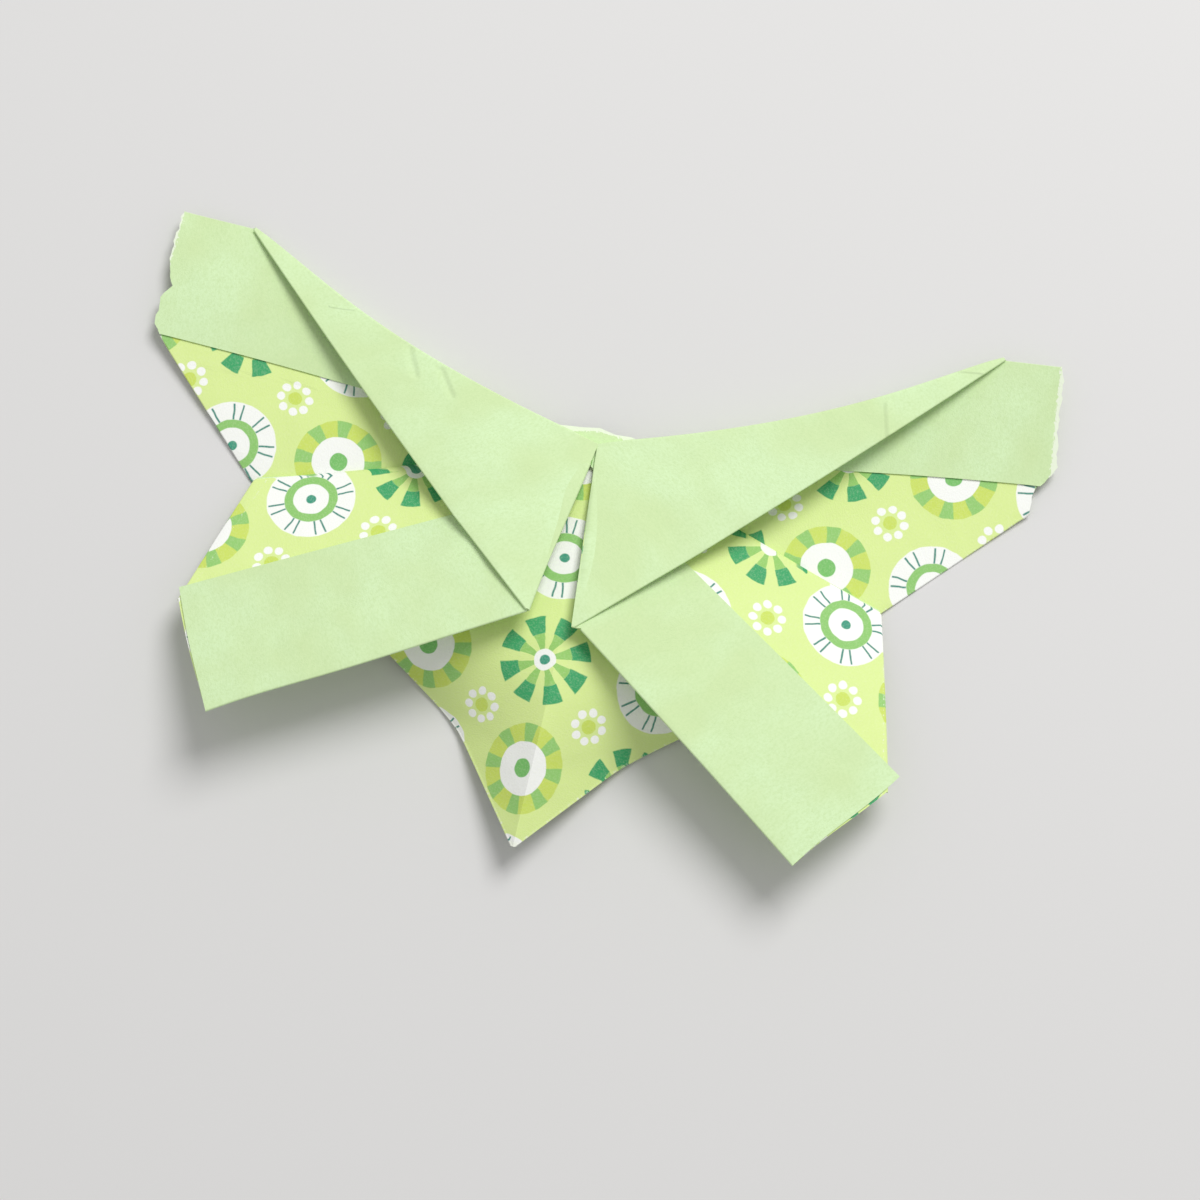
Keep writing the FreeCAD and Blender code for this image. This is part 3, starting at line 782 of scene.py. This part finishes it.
def polar(tree, cells, half):
    """Nearest lattice point (half 0.5) or middle of a cell (half 0): its number, and the way from it.

    Gives the number, the distance in mm, and the angle round it.
    """
    nearest = add(tree, "ShaderNodeVectorMath", {0: cells, 1: (half, half, 0)}, operation="ADD")
    nearest = add(tree, "ShaderNodeVectorMath", {0: nearest}, operation="FLOOR")
    centre = add(tree, "ShaderNodeVectorMath", {0: nearest, 1: (0.5 - half, 0.5 - half, 0)}, operation="ADD")
    offset = add(tree, "ShaderNodeVectorMath", {0: cells, 1: centre}, operation="SUBTRACT")
    offset = add(tree, "ShaderNodeVectorMath", {0: offset, 1: LATTICE_STEP + (0,)}, operation="MULTIPLY")
    radius = add(tree, "ShaderNodeVectorMath", {0: offset}, out="Value", operation="LENGTH")
    parts = add(tree, "ShaderNodeSeparateXYZ", {0: offset}).node.outputs
    angle = add(tree, "ShaderNodeMath", {0: parts[1], 1: parts[0]}, operation="ARCTAN2")
    return nearest, radius, angle


def from_spoke(tree, angle, first):
    """Angle from the nearest of eight even spokes, without sign; the first spoke is at angle `first`."""
    turn = add(tree, "ShaderNodeMath", {0: angle, 1: first}, operation="SUBTRACT")
    return add(tree, "ShaderNodeMath", {0: turn, 1: EIGHTH / 2}, operation="PINGPONG")


def printed_shape(tree, radius, angle, shape):
    """Mask of one disc, of a ring of wedges or of a ring of paired ticks."""
    kind, end = shape[0], shape[-2]
    inside = add(tree, "ShaderNodeMapRange", {0: radius, 1: end + EDGE, 2: end - EDGE})
    if kind == "disc":
        return inside
    start = shape[-3]
    turn = from_spoke(tree, angle, shape[1])
    if kind == "wedges":
        mask = add(tree, "ShaderNodeMapRange", {0: turn, 1: shape[2] + WEDGE_EDGE, 2: shape[2] - WEDGE_EDGE})
    else:
        turn = add(tree, "ShaderNodeMath", {0: turn, 1: shape[2]}, operation="SUBTRACT")
        turn = add(tree, "ShaderNodeMath", {0: turn}, operation="ABSOLUTE")
        away = add(tree, "ShaderNodeMath", {0: turn, 1: radius}, operation="MULTIPLY")
        mask = add(tree, "ShaderNodeMapRange", {0: away, 1: shape[3] + EDGE, 2: shape[3] - EDGE})
    mask = add(tree, "ShaderNodeMath", {0: mask, 1: inside}, operation="MULTIPLY")
    past_start = add(tree, "ShaderNodeMapRange", {0: radius, 1: start - EDGE, 2: start + EDGE})
    return add(tree, "ShaderNodeMath", {0: mask, 1: past_start}, operation="MULTIPLY")


def daisies(tree, cells):
    """The ground, with a lime heart and eight white dots round it in the middle of each cell."""
    _, radius, angle = polar(tree, cells, 0.0)
    turn = from_spoke(tree, angle, 0.0)
    along = add(tree, "ShaderNodeMath", {0: turn}, operation="COSINE")
    along = add(tree, "ShaderNodeMath", {0: along, 1: radius}, operation="MULTIPLY")
    across = add(tree, "ShaderNodeMath", {0: turn}, operation="SINE")
    across = add(tree, "ShaderNodeMath", {0: across, 1: radius}, operation="MULTIPLY")
    petal = add(tree, "ShaderNodeCombineXYZ", {0: along, 1: across})
    petal = add(tree, "ShaderNodeVectorMath", {0: petal, 1: (PETAL_RING, 0, 0)}, out="Value",
                operation="DISTANCE")
    size, heart = DAISY_HEART
    mask = add(tree, "ShaderNodeMapRange", {0: radius, 1: size + EDGE, 2: size - EDGE})
    colour = add(tree, "ShaderNodeMix", {0: mask, 6: srgb(GROUND), 7: srgb(heart)}, out=2, data_type="RGBA")
    mask = add(tree, "ShaderNodeMapRange", {0: petal, 1: PETAL + EDGE, 2: PETAL - EDGE})
    return add(tree, "ShaderNodeMix", {0: mask, 6: colour, 7: srgb(WHITE)}, out=2, data_type="RGBA")


def roundels(tree, cells, colour):
    """The colour with roundels over it; their kind is the sum of the lattice numbers, counted in threes."""
    nearest, radius, angle = polar(tree, cells, 0.5)
    number = add(tree, "ShaderNodeSeparateXYZ", {0: nearest}).node.outputs
    kind = add(tree, "ShaderNodeMath", {0: number[0], 1: number[1]}, operation="ADD")
    kind = add(tree, "ShaderNodeMath", {0: kind, 1: float(len(ROUNDELS))}, operation="FLOORED_MODULO")
    for index, shapes in enumerate(ROUNDELS):
        chosen = add(tree, "ShaderNodeMath", {0: kind, 1: float(index), 2: 0.3}, operation="COMPARE")
        for shape in shapes:
            mask = printed_shape(tree, radius, angle, shape)
            mask = add(tree, "ShaderNodeMath", {0: mask, 1: chosen}, operation="MULTIPLY")
            ink = srgb(shape[-1])
            colour = add(tree, "ShaderNodeMix", {0: mask, 6: colour, 7: ink}, out=2, data_type="RGBA")
    return colour


def printed_paper():
    """Printed side: offset ink on matt paper.

    Flat inks with crisp edges, a little smoother and shinier than the bare side.  They lie thinner
    on the paper's high grain, and are gone along worn creases and the tear.
    """
    paper, tree, sheet_point = blank_paper("printed_paper")
    waver = add(tree, "ShaderNodeTexNoise", {"Vector": sheet_point, "Scale": WAVER_SCALE, "Detail": 1.0},
                out="Color")
    waver = add(tree, "ShaderNodeVectorMath", {0: waver, 1: (0.5, 0.5, 0.5)}, operation="SUBTRACT")
    waver = add(tree, "ShaderNodeVectorMath", {0: waver, "Scale": WAVER}, operation="SCALE")
    inked = add(tree, "ShaderNodeVectorMath", {0: sheet_point, 1: waver}, operation="ADD")
    cells = add(tree, "ShaderNodeVectorMath", {0: inked, 1: LATTICE_AT + (0,)}, operation="SUBTRACT")
    cells = add(tree, "ShaderNodeVectorMath", {0: cells, 1: LATTICE_STEP + (1,)}, operation="DIVIDE")
    colour = roundels(tree, cells, daisies(tree, cells))
    speckle = add(tree, "ShaderNodeTexNoise", {"Vector": sheet_point, "Scale": GRAIN_SCALE, "Detail": 4.0,
                                               "Roughness": 0.6})
    thin = add(tree, "ShaderNodeMapRange", {0: speckle, 1: 0.45, 2: 0.8, 3: 0.0, 4: 0.22})
    colour = add(tree, "ShaderNodeMix", {0: thin, 6: colour, 7: srgb(THIN_INK)}, out=2, data_type="RGBA")
    worn = wear(tree, sheet_point)
    colour = add(tree, "ShaderNodeMix", {0: worn, 6: colour, 7: srgb(RUBBED_INK)}, out=2, data_type="RGBA")
    shade(tree, colour, roughness=0.62, specular=0.3, normal=tooth(tree, sheet_point))
    return paper


# Small marks on the bare side: start and end on the sheet, half-width and height in mm
MARKS = (
    ((-84.4, 40.6), (-80.9, 38.7), 0.35, 0.10),
    ((-76.4, 29.6), (-78.4, 24.4), 1.1, -0.22),
    ((-74.4, 23.2), (-75.6, 18.6), 1.0, -0.22),
    ((81.7, 39.6), (87.4, 35.8), 0.9, 0.20),
    ((84.9, 51.4), (87.6, 53.6), 0.5, 0.14),
)
BARE = "#D9F2C0"
BARE_PATCH = "#D3E9B1"
BARE_SPECK = "#CAE3A9"
RUBBED_BARE = "#F4FAE9"


def mark_height(tree, sheet_point):
    """Sum over the marks of height times smoothstep(1 - d / half-width), d being the way to its line."""
    level = add(tree, "ShaderNodeVectorMath", {0: sheet_point, 1: (1, 1, 0)}, operation="MULTIPLY")
    height = 0.0
    for start, end, wide, high in MARKS:
        line = Vector((end[0] - start[0], end[1] - start[1], 0))
        way = add(tree, "ShaderNodeVectorMath", {0: level, 1: start + (0,)}, operation="SUBTRACT")
        part = add(tree, "ShaderNodeVectorMath", {0: way, 1: line / line.length_squared}, out="Value",
                   operation="DOT_PRODUCT")
        part = add(tree, "ShaderNodeMath", {0: part, 1: 1.0}, operation="MULTIPLY", use_clamp=True)
        foot = add(tree, "ShaderNodeVectorMath", {0: line, "Scale": part}, operation="SCALE")
        gap = add(tree, "ShaderNodeVectorMath", {0: way, 1: foot}, out="Value", operation="DISTANCE")
        mark = add(tree, "ShaderNodeMapRange", {0: gap, 1: wide, 2: 0.0}, interpolation_type="SMOOTHSTEP")
        height = add(tree, "ShaderNodeMath", {0: mark, 1: high, 2: height}, operation="MULTIPLY_ADD")
    return height


def plain_paper():
    """Bare side: uncoated paper, coloured pale green in the pulp and pressed between rollers.

    The dullest surface here, softly patchy, with fine darker specks, grain, and small dents and kinks.
    """
    paper, tree, sheet_point = blank_paper("plain_paper")
    marks = mark_height(tree, sheet_point)
    patch = add(tree, "ShaderNodeTexNoise", {"Vector": sheet_point, "Scale": PATCH_SCALE, "Detail": 2.5})
    speckle = add(tree, "ShaderNodeTexNoise", {"Vector": sheet_point, "Scale": SPECK_SCALE, "Detail": 4.0,
                                               "Roughness": 0.7})
    patch = add(tree, "ShaderNodeMapRange", {0: patch, 1: 0.36, 2: 0.64})
    colour = add(tree, "ShaderNodeMix", {0: patch, 6: srgb(BARE), 7: srgb(BARE_PATCH)}, out=2,
                 data_type="RGBA")
    speckle = add(tree, "ShaderNodeMapRange", {0: speckle, 1: 0.42, 2: 0.72, 4: 0.75})
    colour = add(tree, "ShaderNodeMix", {0: speckle, 6: colour, 7: srgb(BARE_SPECK)}, out=2,
                 data_type="RGBA")
    worn = wear(tree, sheet_point)
    colour = add(tree, "ShaderNodeMix", {0: worn, 6: colour, 7: srgb(RUBBED_BARE)}, out=2,
                 data_type="RGBA")
    shade(tree, colour, roughness=0.8, specular=0.2, normal=tooth(tree, sheet_point, marks))
    return paper


# The sheet with its thickness -------------------------------------------------------------------

# The printed side is material 0; the wall that Solidify adds, and its rim, take the plain one
skin = bpy.data.objects.new("skin", mesh)
bpy.context.scene.collection.objects.link(skin)
mesh.materials.append(printed_paper())
mesh.materials.append(plain_paper())
wall = skin.modifiers.new("paper", "SOLIDIFY")
wall.thickness = THICK * MM
wall.offset = 0
wall.material_offset = 1
wall.material_offset_rim = 1
evaluated_skin = skin.evaluated_get(bpy.context.evaluated_depsgraph_get())
solid_mesh = bpy.data.meshes.new_from_object(evaluated_skin)
bpy.data.objects.remove(skin)
solid_mesh.shade_smooth()
solid_mesh.set_sharp_from_angle(angle=np.radians(SHARP))
butterfly = bpy.data.objects.new("paper_butterfly", solid_mesh)
bpy.context.scene.collection.objects.link(butterfly)
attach(butterfly, "root")
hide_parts("folded_sheet")


# Table, light and camera, in metres --------------------------------------------------------------

TABLE_HALF = 3.0
TABLE_GREY = "#E0DFDE"
LAMP_AT = (0.24, 0.60, 0.88)
LAMP_WATTS = 8.0
LAMP_SIZE = 0.6
ROOM_LIGHT = 0.475
CAMERA_AT = (0.01595, -0.10874, 0.41248)
CAMERA_TURN = (0.24856, -0.02148, 0.18729)    # radians about x, y and z
CAMERA_LENS = 85.9                 # focal length in mm, on a sensor 36 mm wide
CAMERA_SENSOR = 36.0

# Matt painted board: a broad, almost highlight-free grey
pale = bpy.data.materials.new("pale_table")
pale.use_nodes = True
paint = pale.node_tree.nodes["Principled BSDF"].inputs
paint["Base Color"].default_value = srgb(TABLE_GREY)
paint["Roughness"].default_value = 0.9
paint["Specular IOR Level"].default_value = 0.1

table_mesh = bpy.data.meshes.new("table")
table_corners = [(x * TABLE_HALF, y * TABLE_HALF, 0) for x, y in ((-1, -1), (1, -1), (1, 1), (-1, 1))]
table_mesh.from_pydata(table_corners, [], [(0, 1, 2, 3)])
table_mesh.materials.append(pale)
table = bpy.data.objects.new("table", table_mesh)
bpy.context.scene.collection.objects.link(table)

world = bpy.data.worlds.new("room")
world.use_nodes = True
world.node_tree.nodes["Background"].inputs["Color"].default_value = (1, 1, 1, 1)
world.node_tree.nodes["Background"].inputs["Strength"].default_value = ROOM_LIGHT
bpy.context.scene.world = world

lamp = bpy.data.lights.new("window", "AREA")
lamp.energy = LAMP_WATTS
lamp.shape = "DISK"
lamp.size = LAMP_SIZE
window = bpy.data.objects.new("window", lamp)
window.location = LAMP_AT
window.rotation_euler = Vector(LAMP_AT).to_track_quat("Z", "Y").to_euler()
bpy.context.scene.collection.objects.link(window)

lens = bpy.data.cameras.new("camera")
lens.sensor_width = CAMERA_SENSOR
lens.lens = CAMERA_LENS
camera = bpy.data.objects.new("camera", lens)
camera.location = CAMERA_AT
camera.rotation_euler = CAMERA_TURN
bpy.context.scene.collection.objects.link(camera)
bpy.context.scene.camera = camera
bpy.context.scene.view_settings.view_transform = "Standard"
